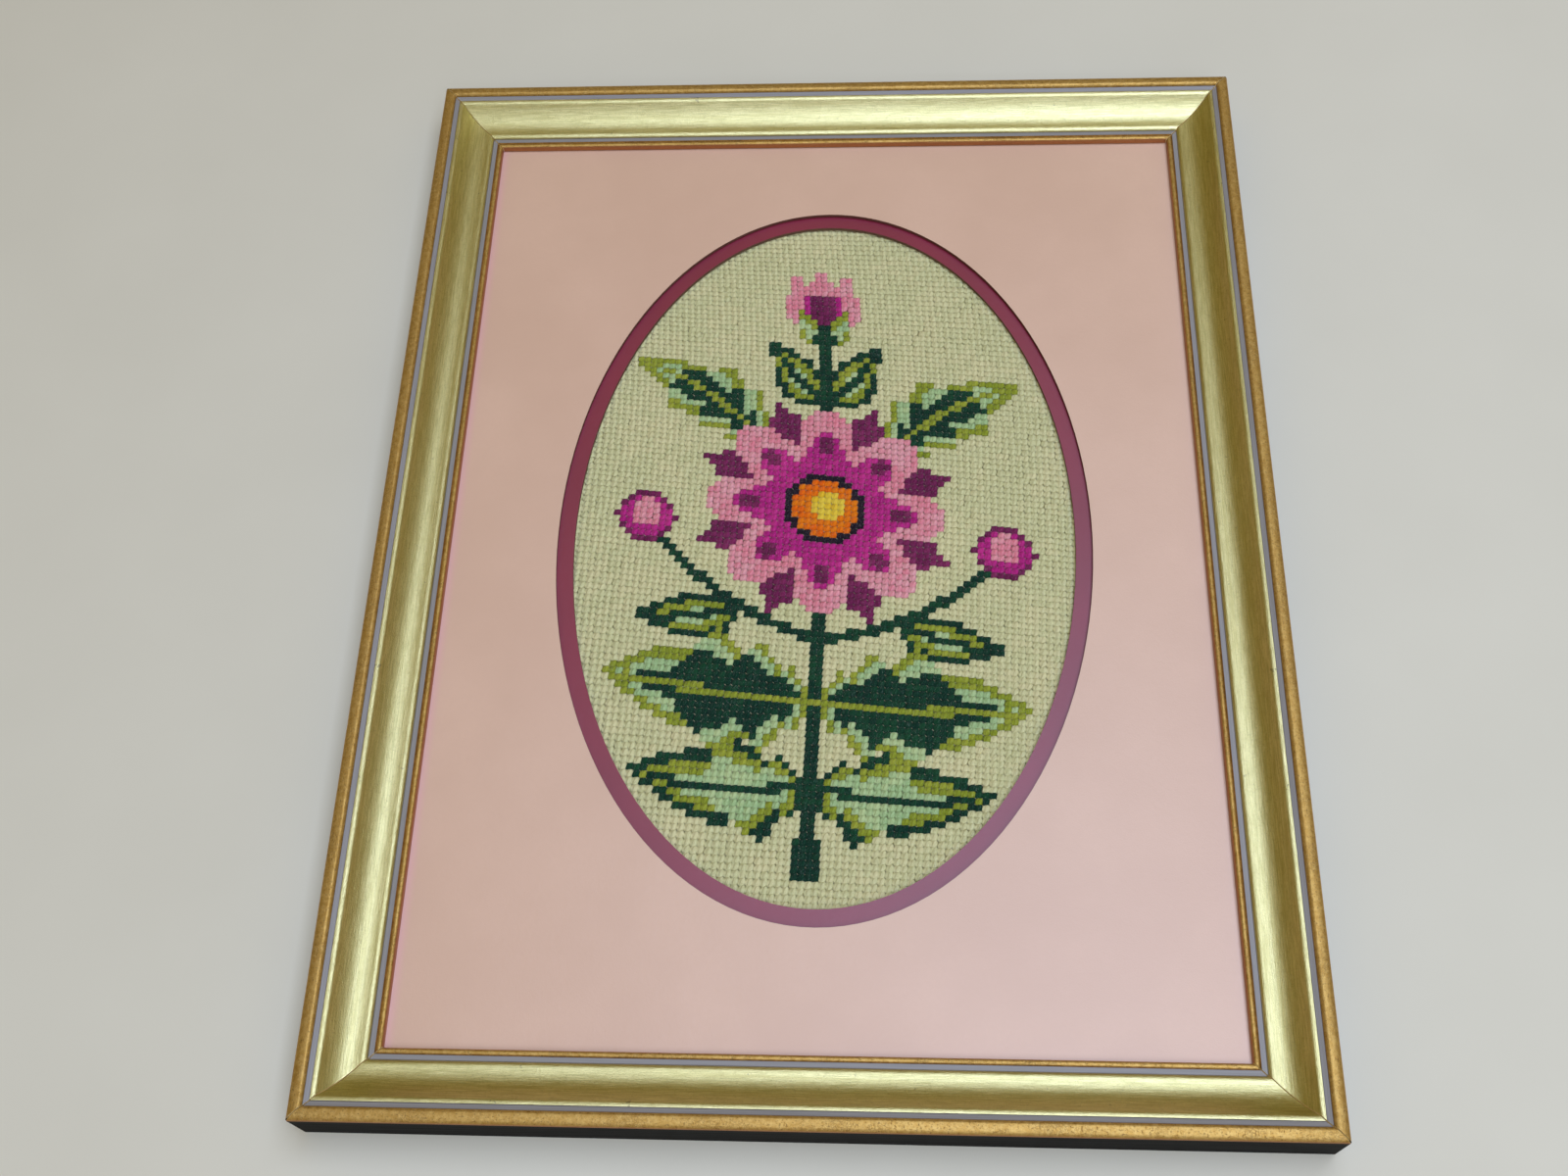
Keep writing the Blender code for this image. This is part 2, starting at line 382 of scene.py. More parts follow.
def bead_gilding():
    material, tree, shader, _ = new_finish("bead_gilding")
    out, place = measured(tree)
    warped = add(tree, "TexNoise", {"Vector": place, "Scale": 300.0, "Detail": 3.0}).outputs["Color"]
    sockets = {0: warped, 1: (CRACK_BEND, CRACK_BEND, CRACK_BEND), 2: place}
    bent = add(tree, "VectorMath", sockets, operation="MULTIPLY_ADD").outputs[0]
    borders = add(tree, "TexVoronoi", {"Vector": bent, "Scale": 1500.0}, feature="DISTANCE_TO_EDGE")
    crack = ramp(tree, borders.outputs["Distance"], 0.0, 0.09, 1.0, 0.0)
    patch = ramp(tree, cloud(tree, place, 60.0, 3.0), 0.45, 0.62)
    crack = calc(tree, "MULTIPLY", crack, patch)
    speck = ramp(tree, cloud(tree, place, 2000.0, 3.0, 0.7), 0.54, 0.68)
    mottle = cloud(tree, place, 800.0, 4.0, 0.7)
    gold = blend_colors(tree, ramp(tree, mottle, 0.3, 0.75), BEAD_DIM, BEAD_LIT)
    dark = calc(tree, "MAXIMUM", calc(tree, "MULTIPLY", crack, 0.45), calc(tree, "MULTIPLY", speck, 0.6))
    paint = blend_colors(tree, dark, gold, BEAD_CRACK)
    # a reddish brown painted along the sight edge and along the outermost edge
    reddish_in = ramp(tree, out, 0.05 * MM, 0.4 * MM, 0.75, 0.0)
    reddish_out = ramp(tree, out, RAIL_WIDTH - 0.3 * MM, RAIL_WIDTH - 0.05 * MM, 0.0, 0.6)
    reddish = calc(tree, "MAXIMUM", reddish_in, reddish_out)
    paint = blend_colors(tree, reddish, paint, REDDISH_EDGE)
    join(tree, paint, shader, "Base Color")
    join(tree, calc(tree, "MULTIPLY_ADD", mottle, 0.2, 0.38), shader, "Roughness")
    height = calc(tree, "SUBTRACT", calc(tree, "MULTIPLY", mottle, 0.5), dark)
    join(tree, relief(tree, height, 0.05 * MM), shader, "Normal")
    shader.inputs["Metallic"].default_value = 0.7
    return material


rail_finishes["bead"] = ready(bead_gilding())

# %% [markdown]
# A line of lilac-grey paint fills the flat beside each bead. Within a fraction of a millimetre of each
# border the colour deepens: painted shade that stands for the thin grooves where the paint meets the
# gilding. The borders are the edges of the flats in the moulding's section.

# %% The painted lines
INNER_BEAD_END = 1.7 * MM
INNER_LINE_END = 3.1 * MM
OUTER_LINE_START = 14.5 * MM
OUTER_BEAD_START = 15.85 * MM
LINE_EDGES = (INNER_BEAD_END, INNER_LINE_END, OUTER_LINE_START, OUTER_BEAD_START)
LINE_DIM, LINE_LIT, LINE_GROOVE_SHADE = color(131, 124, 118), color(158, 151, 145), color(66, 48, 36)


def painted_line():
    material, tree, shader, _ = new_finish("painted_line")
    out, place = measured(tree)
    grain = cloud(tree, stretched(tree, place, 60.0, 2200.0, 2200.0), 1.0, 3.0)
    paint = blend_colors(tree, grain, LINE_DIM, LINE_LIT)
    nearest = None
    for edge in LINE_EDGES:
        distance = calc(tree, "ABSOLUTE", calc(tree, "SUBTRACT", out, edge))
        nearest = distance if nearest is None else calc(tree, "MINIMUM", nearest, distance)
    # painted shade of the thin grooves at each border of the line
    shade = ramp(tree, nearest, 0.02 * MM, 0.14 * MM, 0.8, 0.0)
    paint = blend_colors(tree, shade, paint, LINE_GROOVE_SHADE)
    join(tree, paint, shader, "Base Color")
    shader.inputs["Roughness"].default_value = 0.5
    join(tree, relief(tree, grain, 0.03 * MM), shader, "Normal")
    return material


rail_finishes["line"] = ready(painted_line())

# %% [markdown]
# The sides of the moulding are stained dark and painted almost black, darker than the stain, as painted
# shade. Its back and the rebate are bare wood, with the grain running along each rail.

# %% The stained side and the bare wood
SIDE_STAIN_AND_SHADE_DARK, SIDE_STAIN_AND_SHADE_PALE = color(5, 4, 3), color(13, 10, 8)
WOOD_PALE, WOOD_DARK = color(188, 150, 104), color(150, 110, 70)


def stained_shaded_side():
    material, tree, shader, _ = new_finish("stained_shaded_side")
    _, place = measured(tree)
    grain = cloud(tree, stretched(tree, place, 40.0, 900.0, 900.0), 1.0, 4.0, 0.6)
    # dark stain painted near black, darker still as painted shade on the sides
    paint = blend_colors(tree, ramp(tree, grain, 0.3, 0.75), SIDE_STAIN_AND_SHADE_DARK, SIDE_STAIN_AND_SHADE_PALE)
    join(tree, paint, shader, "Base Color")
    join(tree, calc(tree, "MULTIPLY_ADD", grain, 0.3, 0.5), shader, "Roughness")
    shader.inputs["Specular IOR Level"].default_value = 0.06
    join(tree, relief(tree, grain, 0.08 * MM), shader, "Normal")
    return material


def bare_wood():
    material, tree, shader, _ = new_finish("bare_wood")
    _, place = measured(tree)
    grain = cloud(tree, stretched(tree, place, 18.0, 700.0, 700.0), 1.0, 4.0, 0.65)
    paint = blend_colors(tree, ramp(tree, grain, 0.3, 0.72), WOOD_PALE, WOOD_DARK)
    join(tree, paint, shader, "Base Color")
    shader.inputs["Roughness"].default_value = 0.8
    join(tree, relief(tree, grain, 0.1 * MM), shader, "Normal")
    return material


rail_finishes["side"] = ready(stained_shaded_side())
rail_finishes["wood"] = ready(bare_wood())

# %% [markdown]
# A framer fills the four mitre joints with putty in the colour of the gilding, so that the thin gap
# between two rails reads as a fine line and not as a black one. On the outer sides the putty is painted
# near black like the sides there, stain and painted shade together.

# %% The putty in the joints
PUTTY_DIM, PUTTY_LIT, PUTTY_STAIN_AND_SHADE = color(238, 212, 146), color(250, 228, 168), color(10, 8, 6)


def joint_putty():
    material, tree, shader, _ = new_finish("joint_putty")
    out, place = measured(tree)
    paint = blend_colors(tree, cloud(tree, place, 800.0), PUTTY_DIM, PUTTY_LIT)
    # near black on the outer sides, stain and painted shade like the sides
    stain = ramp(tree, out, RAIL_WIDTH - 0.8 * MM, RAIL_WIDTH - 0.2 * MM)
    paint = blend_colors(tree, stain, paint, PUTTY_STAIN_AND_SHADE)
    join(tree, paint, shader, "Base Color")
    shader.inputs["Roughness"].default_value = 0.9
    return material


rail_finishes["joint"] = ready(joint_putty())

# %% [markdown]
# The rails are solids of the frame, and their section is right, so they are kept. Apart from the
# mitre cuts, each of their faces runs the full length of a rail, which makes the finish a matter
# of asking how far out the middle of a face lies, and giving it the material of that band.

# %% Finish the rails band by band
PIECE_GAP = 0.3 * MM           # the pieces lie this far apart
LIP_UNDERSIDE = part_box("mat_outer")[1].z + PIECE_GAP
REBATE_END = 7.0 * MM          # the rebate lies inside of this
SIDE_TOP = 15.4 * MM           # the stain stops here, under the outer bead
BACK_END = RAIL_WIDTH - 0.5 * MM
LINE_STEP = 0.08 * MM          # the small step down to the outer line is painted like it
SMOOTH_ANGLE = math.radians(32.0)


def band_of(face):
    """The name of the finish on one face of a rail."""
    out = max(abs(face.center.x) - SIGHT_HALF_WIDTH, abs(face.center.y) - SIGHT_HALF_HEIGHT)
    faces_down = face.normal.z < -0.5
    mitre_cut = min(abs(face.normal.x), abs(face.normal.y)) > 0.5
    if mitre_cut:
        return "joint"
    if faces_down and out < BACK_END or face.center.z < LIP_UNDERSIDE + 0.01 * MM and out < REBATE_END:
        return "wood"
    upright = abs(face.normal.z) < 0.5
    if upright and face.center.z < SIDE_TOP and out > OUTER_BEAD_START or faces_down:
        return "side"
    if out < INNER_BEAD_END or out > OUTER_BEAD_START:
        return "bead"
    if out < INNER_LINE_END or out > OUTER_LINE_START - LINE_STEP:
        return "line"
    return "bright"


def finish_rail(rail):
    """Puts every finish on the rail's list, then picks one for each face."""
    mesh = rail.data
    mesh.materials.clear()
    for material in rail_finishes.values():
        mesh.materials.append(material)
    bands = list(rail_finishes)
    counts = dict.fromkeys(bands, 0)
    for face in mesh.polygons:
        band = band_of(face)
        face.material_index = bands.index(band)
        counts[band] += 1
    mesh.shade_smooth()
    mesh.set_sharp_from_angle(angle=SMOOTH_ANGLE)
    return counts


for side in ("bottom", "right", "top", "left"):
    print("rail_" + side, finish_rail(solids["rail_" + side]))

# %% [markdown]
# ## The two cards
#
# Mount card is thick paper, coloured on its face. It has next to no pattern: a very faint cloudiness and a
# fine tooth. The same recipe serves both cards with other colours. A narrow strip along the left rail is
# painted pinker, fading out within a few millimetres of the rail. The cut edges round the windows are
# painted a dark brown, as painted shade on the cut faces, which draws a fine line round each oval.

# %% Finish the cards
LEFT_STRIP_WIDTH = 2.9 * MM
PINK_FACE, PINK_SHADE, PINK_LEFT_STRIP = color(230, 186, 155), color(224, 180, 149), color(232, 176, 161)
PLUM_FACE, PLUM_SHADE = color(142, 24, 54), color(132, 20, 48)
PINK_EDGE_SHADE, PLUM_EDGE_SHADE, CORE_FIBRE = color(92, 40, 34), color(84, 54, 40), color(190, 150, 120)


def card_finish(name, face, shade, left_strip_color, roughness):
    material, tree, shader, place = new_finish(name)
    haze = cloud(tree, place, 24.0, 3.0, 0.6)
    tooth = cloud(tree, place, 2600.0, 3.0, 0.6)
    flecks = cloud(tree, place, 700.0, 2.0, 0.5)
    paint = blend_colors(tree, ramp(tree, haze, 0.3, 0.7), face, shade)
    dust = ramp(tree, flecks, 0.35, 0.75, 0.0, 0.22)
    paint = blend_colors(tree, dust, paint, shade)
    across = add(tree, "SeparateXYZ", {0: place}).outputs[0]
    # a strip along the left rail is painted pinker, fading out away from it
    strip = ramp(tree, across, -SIGHT_HALF_WIDTH, LEFT_STRIP_WIDTH - SIGHT_HALF_WIDTH, 0.9, 0.0)
    paint = blend_colors(tree, strip, paint, left_strip_color)
    join(tree, paint, shader, "Base Color")
    shader.inputs["Roughness"].default_value = roughness
    shader.inputs["Specular IOR Level"].default_value = 1.0
    height = calc(tree, "MULTIPLY_ADD", tooth, 0.6, calc(tree, "MULTIPLY", flecks, 0.5))
    join(tree, relief(tree, height, 0.05 * MM), shader, "Normal")
    return material


def card_edge_shade(name, paint):
    """The cut edge of a card, where its coloured paper ends, painted dark brown as the shade on it."""
    material, tree, shader, place = new_finish(name)
    # the dark brown is painted shade on the cut face, flecked with paler fibres
    fibre = cloud(tree, stretched(tree, place, 900.0, 900.0, 5000.0), 1.0, 3.0, 0.6)
    lit = blend_colors(tree, 0.25, paint, CORE_FIBRE)
    join(tree, blend_colors(tree, fibre, paint, lit), shader, "Base Color")
    shader.inputs["Roughness"].default_value = 0.9
    return material


def dress(solid, material, edge=None):
    """One finish for a solid, and a second one for its upright faces."""
    mesh = solid.data
    mesh.materials.clear()
    mesh.materials.append(material)
    if edge is not None:
        mesh.materials.append(edge)
        for face in mesh.polygons:
            face.material_index = int(abs(face.normal.z) < 0.5)
    print(solid.name, "is now", material.name)


pink_card = card_finish("pink_card", PINK_FACE, PINK_SHADE, PINK_LEFT_STRIP, roughness=0.44)
plum_card = card_finish("plum_card", PLUM_FACE, PLUM_SHADE, PLUM_FACE, roughness=0.42)
dress(solids["mat_outer"], pink_card, card_edge_shade("pink_card_edge", PINK_EDGE_SHADE))
dress(solids["mat_inner"], plum_card, card_edge_shade("plum_card_edge", PLUM_EDGE_SHADE))

# %% [markdown]
# The backing board only shows from behind: grey-brown pulp board with darker fibres in it.

# %% Finish the backing board
BOARD_DARK, BOARD_PALE, BOARD_FIBRE = color(150, 124, 94), color(168, 142, 110), color(96, 76, 56)


def pulp_board():
    material, tree, shader, place = new_finish("pulp_board")
    haze = cloud(tree, place, 40.0, 4.0, 0.6)
    fibre = cloud(tree, stretched(tree, place, 500.0, 2200.0, 900.0), 1.0, 3.0, 0.6)
    paint = blend_colors(tree, haze, BOARD_DARK, BOARD_PALE)
    paint = blend_colors(tree, ramp(tree, fibre, 0.62, 0.72, 0.0, 0.6), paint, BOARD_FIBRE)
    join(tree, paint, shader, "Base Color")
    shader.inputs["Roughness"].default_value = 0.9
    join(tree, relief(tree, fibre, 0.08 * MM), shader, "Normal")
    return material


dress(solids["backing"], pulp_board())

# %% [markdown]
# ## The canvas
#
# Needlepoint is worked on an open, stiffened mesh of cotton, here with about thirteen threads to
# the inch. It fills the rebate of the frame like the cards do. The wool hides it wherever it is
# stitched, so it is a thin, slightly uneven sheet, and its weave is drawn by two crossing waves
# in the material instead of by thousands of modelled threads.

# %% Make the canvas sheet
CANVAS_SIZE = (228.6 * MM, 304.8 * MM)
CANVAS_THICKNESS = 1.08 * MM   # the cotton threads, and the wool that fills their holes
CANVAS_STEPS = (76, 101)
CANVAS_RIPPLE = 0.04 * MM
COLUMN_PITCH = 1.93 * MM
COTTON_GAP, COTTON_THREAD, COTTON_FLECK = color(144, 138, 98), color(174, 166, 128), color(168, 158, 124)
canvas_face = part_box("canvas")[0].z + CANVAS_THICKNESS


def canvas_finish(pitch):
    material, tree, shader, place = new_finish("canvas_cotton")
    parts = add(tree, "SeparateXYZ", {0: place})
    threads = []
    for axis in (0, 1):
        turn = calc(tree, "MULTIPLY", parts.outputs[axis], 2 * math.pi / pitch)
        threads.append(calc(tree, "COSINE", turn))
    weave = calc(tree, "MAXIMUM", threads[0], threads[1])
    grain = cloud(tree, place, 1800.0, 3.0)
    paint = blend_colors(tree, ramp(tree, weave, -0.6, 0.5), COTTON_GAP, COTTON_THREAD)
    paint = blend_colors(tree, calc(tree, "MULTIPLY", grain, 0.4), paint, COTTON_FLECK)
    join(tree, paint, shader, "Base Color")
    shader.inputs["Roughness"].default_value = 0.9
    join(tree, relief(tree, weave, 0.2 * MM), shader, "Normal")
    return material


def make_canvas():
    across, along = CANVAS_STEPS
    bpy.ops.mesh.primitive_grid_add(x_subdivisions=across, y_subdivisions=along, size=1.0)
    canvas = bpy.context.object
    canvas.name = "needlepoint_canvas"
    random = np.random.default_rng(3)
    phase = random.uniform(0, 2 * math.pi, 4)
    for vertex in canvas.data.vertices:
        x, y = vertex.co.x * CANVAS_SIZE[0], vertex.co.y * CANVAS_SIZE[1]
        ripple = math.sin(x * 70 + phase[0]) * math.sin(y * 55 + phase[1])
        vertex.co = (x, y, canvas_face + CANVAS_RIPPLE * ripple)
    solidify = canvas.modifiers.new("thickness", "SOLIDIFY")
    solidify.thickness = CANVAS_THICKNESS
    solidify.offset = -1.0
    canvas.data.shade_smooth()
    canvas.data.materials.append(canvas_finish(COLUMN_PITCH))
    return canvas


canvas = make_canvas()
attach(canvas, "root")
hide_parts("canvas")
print("Canvas sheet:", len(canvas.data.vertices), "points")

# %% [markdown]
# A hand-worked canvas never stays square. All the stitches slant one way, and their pull drags
# the rows downhill to the right and leans the columns. `hole` says where each hole of the mesh
# ends up: the plain grid, then the slope of its row, then the lean of its column.

# %% Where the holes of the canvas lie
ROW_PITCH = 1.885 * MM
ROW_PITCH_LOSS = 0.00094 * MM       # each row higher up is this much narrower
ROW_SLOPE = -0.12                   # downhill to the right, steepest across the middle
ROW_SLOPE_EASE = 7.4                # easing towards top and bottom, per square metre
COLUMN_LEAN = 0.03
COLUMN_BEND = -0.6                  # the lean turns over in the upper half, per metre


def hole(column, row):
    """X and Y of a hole, for columns and rows counted from the middle of the window."""
    level = ROW_PITCH * row - 0.5 * ROW_PITCH_LOSS * row * row
    x = COLUMN_PITCH * column
    slope = ROW_SLOPE + ROW_SLOPE_EASE * level * level
    lean = COLUMN_LEAN * level + COLUMN_BEND * np.maximum(level, 0.0) ** 2
    return x + lean, level + slope * x + window_center


print("Hole 30, 40 lies at", [round(float(v) * 1000, 1) for v in hole(30.0, 40.0)], "mm")

# %% [markdown]
# ## The chart
#
# A stitched picture is painted on a grid before it is worked: one square, one stitch. The chart
# here is a plain symmetrical flower, composed for this script from round and pointed shapes.
# Each shape is a formula that says which squares lie inside it, so the outlines come out in
# steps, as they do in wool.

# %% Start the chart
COLUMNS, ROWS = 86, 128
YARNS = ("ground", "pink", "magenta", "plum", "shadow", "orange", "yellow", "forest", "olive", "mint")
GROUND, PINK, MAGENTA, PLUM, SHADOW, ORANGE, YELLOW, FOREST, OLIVE, MINT = range(len(YARNS))
chart_row, chart_column = np.mgrid[0:ROWS, 0:COLUMNS]
right = chart_column + 0.5 - COLUMNS / 2
up = chart_row + 0.5 - ROWS / 2
chart = np.full((ROWS, COLUMNS), GROUND)


def midline(root, turn, length, curl):
    """How far along a curved midline each square lies, 0 to 1, and how far across, in squares."""
    angle = math.radians(turn)
    x, y = right - root[0], up - root[1]
    along = (x * math.cos(angle) + y * math.sin(angle)) / length
    across = y * math.cos(angle) - x * math.sin(angle) - curl * length * along * along
    return along, across


def blade(root, turn, length, width, curl, fullness, lobes=0):
    """The midline, and how deep inside a pointed blade each square lies."""
    along, across = midline(root, turn, length, curl)
    reach = np.clip(along, 0.0, 1.0)
    half = width / 2 * np.sin(math.pi * reach ** fullness)
    if lobes:
        tooth = (reach * lobes + 0.12 * abs(across)) % 1.0
        half = half * (0.72 + 0.42 * tooth)
    depth = np.where((along < 0) | (along > 1), -9.0, half - abs(across))
    return along, across, depth


print("Chart of", COLUMNS, "by", ROWS, "squares")

# %% [markdown]
# The shapes of the picture: stems, leaves in three bands round a vein, round buds, a tulip at
# the top and an eight-petalled flower in the middle.

# %% Shapes of the chart
def stem(root, turn, length, width, curl=0.0):
    along, across = midline(root, turn, length, curl)
    chart[(along >= 0) & (along <= 1) & (abs(across) < width / 2)] = FOREST


def leaf(root, turn, length, width, curl, yarns, lobes=0):
    rim, band, heart, vein = yarns
    along, across, depth = blade(root, turn, length, width, curl, 0.75, lobes)
    chart[depth > -0.4] = rim
    chart[depth > 0.85] = band
    chart[depth > 2.2] = heart
    chart[(depth > 0.4) & (abs(across) < 0.62) & (along < 0.9)] = vein


def disc(center, radius, yarn):
    chart[np.hypot(right - center[0], up - center[1]) < radius] = yarn


def round_bud(center, radius):
    disc(center, radius, PLUM)
    disc(center, radius - 0.9, MAGENTA)
    disc((center[0], center[1] + 0.8), radius - 2.2, PINK)


def flower(center, radius):
    for step in range(8):
        turn = 22.5 + 45 * step
        along, _, depth = blade(center, turn, radius * 1.13, radius * 0.4, curl=0.0, fullness=1.15)
        chart[depth > 0] = PLUM
        chart[(depth > 0) & (along < 0.52)] = SHADOW
    for step in range(8):
        along, across = midline(center, 45 * step, radius, 0.0)
        across = across / radius
        petal = ((along - 0.62) / 0.38) ** 2 + (across / 0.235) ** 2 < 1
        heart = ((along - 0.50) / 0.25) ** 2 + (across / 0.15) ** 2 < 1
        chart[petal] = PINK
        chart[heart] = MAGENTA
        chart[petal & (along < 0.47)] = MAGENTA
        chart[petal & (along > 0.55) & (along < 0.72) & (abs(across) < 0.04)] = PLUM
    disc(center, radius * 0.33, SHADOW)
    disc(center, radius * 0.27, ORANGE)
    disc((center[0] + 0.5, center[1] + 0.5), radius * 0.14, YELLOW)


def tulip(base, height):
    for side in (-1, 1):
        root = (base[0] + side * 0.5, base[1])
        turn = 90 - side * 27
        _, across, depth = blade(root, turn, height * 0.98, height * 0.44, side * 0.2, 0.9)
        chart[depth > 0] = PINK
        chart[(depth > 0) & (side * across > 0.8)] = MAGENTA
    along, _, depth = blade(base, 90, height * 1.05, height * 0.5, 0.0, 0.9)
    chart[depth > 0] = MAGENTA
    chart[depth > 1.2] = PLUM
    chart[(depth > 0) & (along > 0.62)] = PINK
    for side in (-1, 1):
        root = (base[0], base[1] - 1)
        _, _, depth = blade(root, 90 - side * 50, height * 0.55, height * 0.24, side * 0.35, 0.9)
        chart[depth > -0.3] = OLIVE
        chart[depth > 0.7] = MINT
    _, _, depth = blade((base[0], base[1] - 3), 90, height * 0.5, height * 0.26, 0.0, 0.8)
    chart[depth > 0] = FOREST


print("Shapes ready: stem, leaf, disc, round bud, flower and tulip")

# %% [markdown]
# Now the shapes are laid on the chart, one over the other. Places, lengths and widths are in
# squares, counted from the middle of the chart, and turns are in degrees. Each leaf and bud on
# the right has its mirror image on the left.

# %% Fill in the chart
DARK_HEART = (OLIVE, MINT, FOREST, OLIVE)
PALE_HEART = (FOREST, OLIVE, MINT, FOREST)
stem((0, -54), turn=90, length=46, width=1.9)
stem((0, 22), turn=90, length=14, width=1.9)
stem((0, -54), turn=90, length=6, width=3.9)
for side in (-1, 1):
    base = 0 if side > 0 else 180
    stem((0, -17), base + side * 6, 29, 1.75, side * 0.5)
    leaf((side * 12, -13.5), base - side * 24, 15, 7, side * 0.25, PALE_HEART)
    round_bud((side * 27.0, 0.5), radius=4.6)
    leaf((side * 0.5, -27), base - side * 4, 30, 17, side * 0.12, DARK_HEART, lobes=4)
    leaf((side * 0.5, -40), base - side * 16, 24, 13, side * 0.3, PALE_HEART, lobes=3)
    leaf((side * 10.5, 17), base + side * 52, 23, 12, side * -0.3, DARK_HEART, lobes=4)
    leaf((side * 0.5, 25), base + side * 38, 13, 7, side * 0.3, PALE_HEART)
flower((0.0, 5.0), radius=18.5)
tulip((0, 37), height=14)
for number, name in enumerate(YARNS):
    print(f"{name}: {int((chart == number).sum())} squares")

# %% [markdown]
# ## The wool
#
# Only the stitches that show through the window are needed, and a few past its edge, where the
# card hides the last of them. The chart says which yarn each one is worked in.

# %% Choose the stitches
STITCH_MARGIN = 3.0 * MM
GRID_REACH = (60, 80)          # columns and rows on each side, more than the window needs


def wanted_stitches():
    """Column and row of each stitch that shows in the window, and a few past its edge."""
    most_columns, most_rows = GRID_REACH
    column, row = np.meshgrid(np.arange(-most_columns, most_columns), np.arange(-most_rows, most_rows))
    column, row = column.ravel(), row.ravel()
    x, y = hole(column + 0.5, row + 0.5)
    reach_x, reach_y = window_half_width + STITCH_MARGIN, window_half_height + STITCH_MARGIN
    inside = (x / reach_x) ** 2 + ((y - window_center) / reach_y) ** 2 < 1
    return column[inside], row[inside]


def yarn_of(column, row):
    """The chart's yarn for each stitch; past the chart's edge it is the ground."""
    across, along = column + COLUMNS // 2, row + ROWS // 2
    known = (across >= 0) & (across < COLUMNS) & (along >= 0) & (along < ROWS)
    found = np.full(len(column), GROUND)
    found[known] = chart[along[known], across[known]]
    return found


print("Stitches to work:", len(wanted_stitches()[0]))

# %% [markdown]
# A tent stitch comes up through one hole, lies across the thread crossing, and goes down through
# the hole up and to the right. Between them it swells, because the wool is thicker than the
# mesh, so it looks like a slanted grain of rice. One stitch is modelled as seven half-round
# sections that spread to a wide flat foot, and numpy lays all the copies at once, each a little
# different, because no two stitches are pulled equally tight.
#
# Each point also remembers where it lies along and around its own strand. The wool's material
# reads that to draw the twist of the plies and the fibres.

# %% Shape all the stitches at once
STITCH_SECTIONS = np.array([0.03, 0.13, 0.30, 0.5, 0.70, 0.87, 0.97])    # shares of its length
AROUND = np.linspace(math.pi, 0.0, 7)
STITCH_INSET = 0.07            # in column pitches, how far inside its square a stitch keeps
STITCH_OVERLAP = 0.05          # in row pitches, how far it reaches past its square at each end
STITCH_HALF_WIDTH = 0.84 * MM
STITCH_FOOT = 1.2 * MM         # half the width of the flattened wool at its base
STITCH_HEIGHT = 0.6 * MM
WIDTH_SPREAD = (0.9, 1.1)
HEIGHT_SPREAD = (0.88, 1.06)
SIDE_SPREAD = 0.07 * MM
BOW_SPREAD = 0.08 * MM
MOST_LIFT = 0.07 * MM
BLUNT_ENDS = 0.45              # below 1 the ends are blunter than a sine's
FULL_CROWN = 0.7               # below 1 the top is fuller than a sine's


def stitch_points(column, row, random):
    """Points of all the stitches (stitch, section, around, 3) and the strand place of each."""
    count = len(column)
    start = np.stack(hole(column + STITCH_INSET, row - STITCH_OVERLAP), 1)
    end = np.stack(hole(column + 1.0 - STITCH_INSET, row + 1.0 + STITCH_OVERLAP), 1)
    lane = end - start
    length = np.linalg.norm(lane, axis=1)
    lane = lane / length[:, None]
    side = np.stack([-lane[:, 1], lane[:, 0]], 1)
    width = STITCH_HALF_WIDTH * random.uniform(*WIDTH_SPREAD, count)
    height = STITCH_HEIGHT * random.uniform(*HEIGHT_SPREAD, count)
    shift = random.normal(0.0, SIDE_SPREAD, count)
    bow = random.normal(0.0, BOW_SPREAD, count)
    swell = np.sin(math.pi * STITCH_SECTIONS)
    middle = start[:, None] + lane[:, None] * (STITCH_SECTIONS * length[:, None])[:, :, None]
    middle = middle + side[:, None] * (shift[:, None] + bow[:, None] * swell)[:, :, None]
    half = (width[:, None] * swell ** BLUNT_ENDS)[:, :, None] * np.cos(AROUND)
    half[:, :, 0], half[:, :, -1] = -STITCH_FOOT, STITCH_FOOT
    flat = middle[:, :, None] + side[:, None, None] * half[..., None]
    rise = (height[:, None] * swell ** FULL_CROWN)[:, :, None] * np.sin(AROUND)
    lift = random.uniform(0.0, MOST_LIFT, count)[:, None, None]
    points = np.concatenate([flat, (canvas_face + lift + rise)[..., None]], 3)
    along = np.broadcast_to((STITCH_SECTIONS * length[:, None])[:, :, None], rise.shape)
    around = np.broadcast_to(AROUND, rise.shape)
    tone = np.broadcast_to(random.uniform(0.0, 1.0, count)[:, None, None], rise.shape)
    return points, np.stack([along, around, tone], 3)


first_hole = hole(STITCH_INSET, -STITCH_OVERLAP)
last_hole = hole(1.0 - STITCH_INSET, 1.0 + STITCH_OVERLAP)
print(f"In the middle a stitch is {1000 * math.dist(first_hole, last_hole):.2f} mm long")

# %% [markdown]
# Many stitches of one yarn are joined in a single mesh. As separate objects there would be some
# thousands of them, each placed by itself, and the scene would be slow.

# %% Turn stitches into meshes
def stitch_faces(count):
    """Quads round each stitch, and the two caps, as lists of point numbers."""
    sections, ring = len(STITCH_SECTIONS), len(AROUND)
    quads = []
    for section in range(sections - 1):
        for step in range(ring):
            here, there = section * ring + step, section * ring + (step + 1) % ring
            quads.append((here, there, there + ring, here + ring))
    first = np.arange(count)[:, None, None] * (sections * ring)
    quads = (np.array(quads)[None] + first).reshape(-1, 4)
    caps = np.array([range(ring)[::-1], range((sections - 1) * ring, sections * ring)])
    caps = (caps[None] + first).reshape(-1, ring)
    return quads, caps


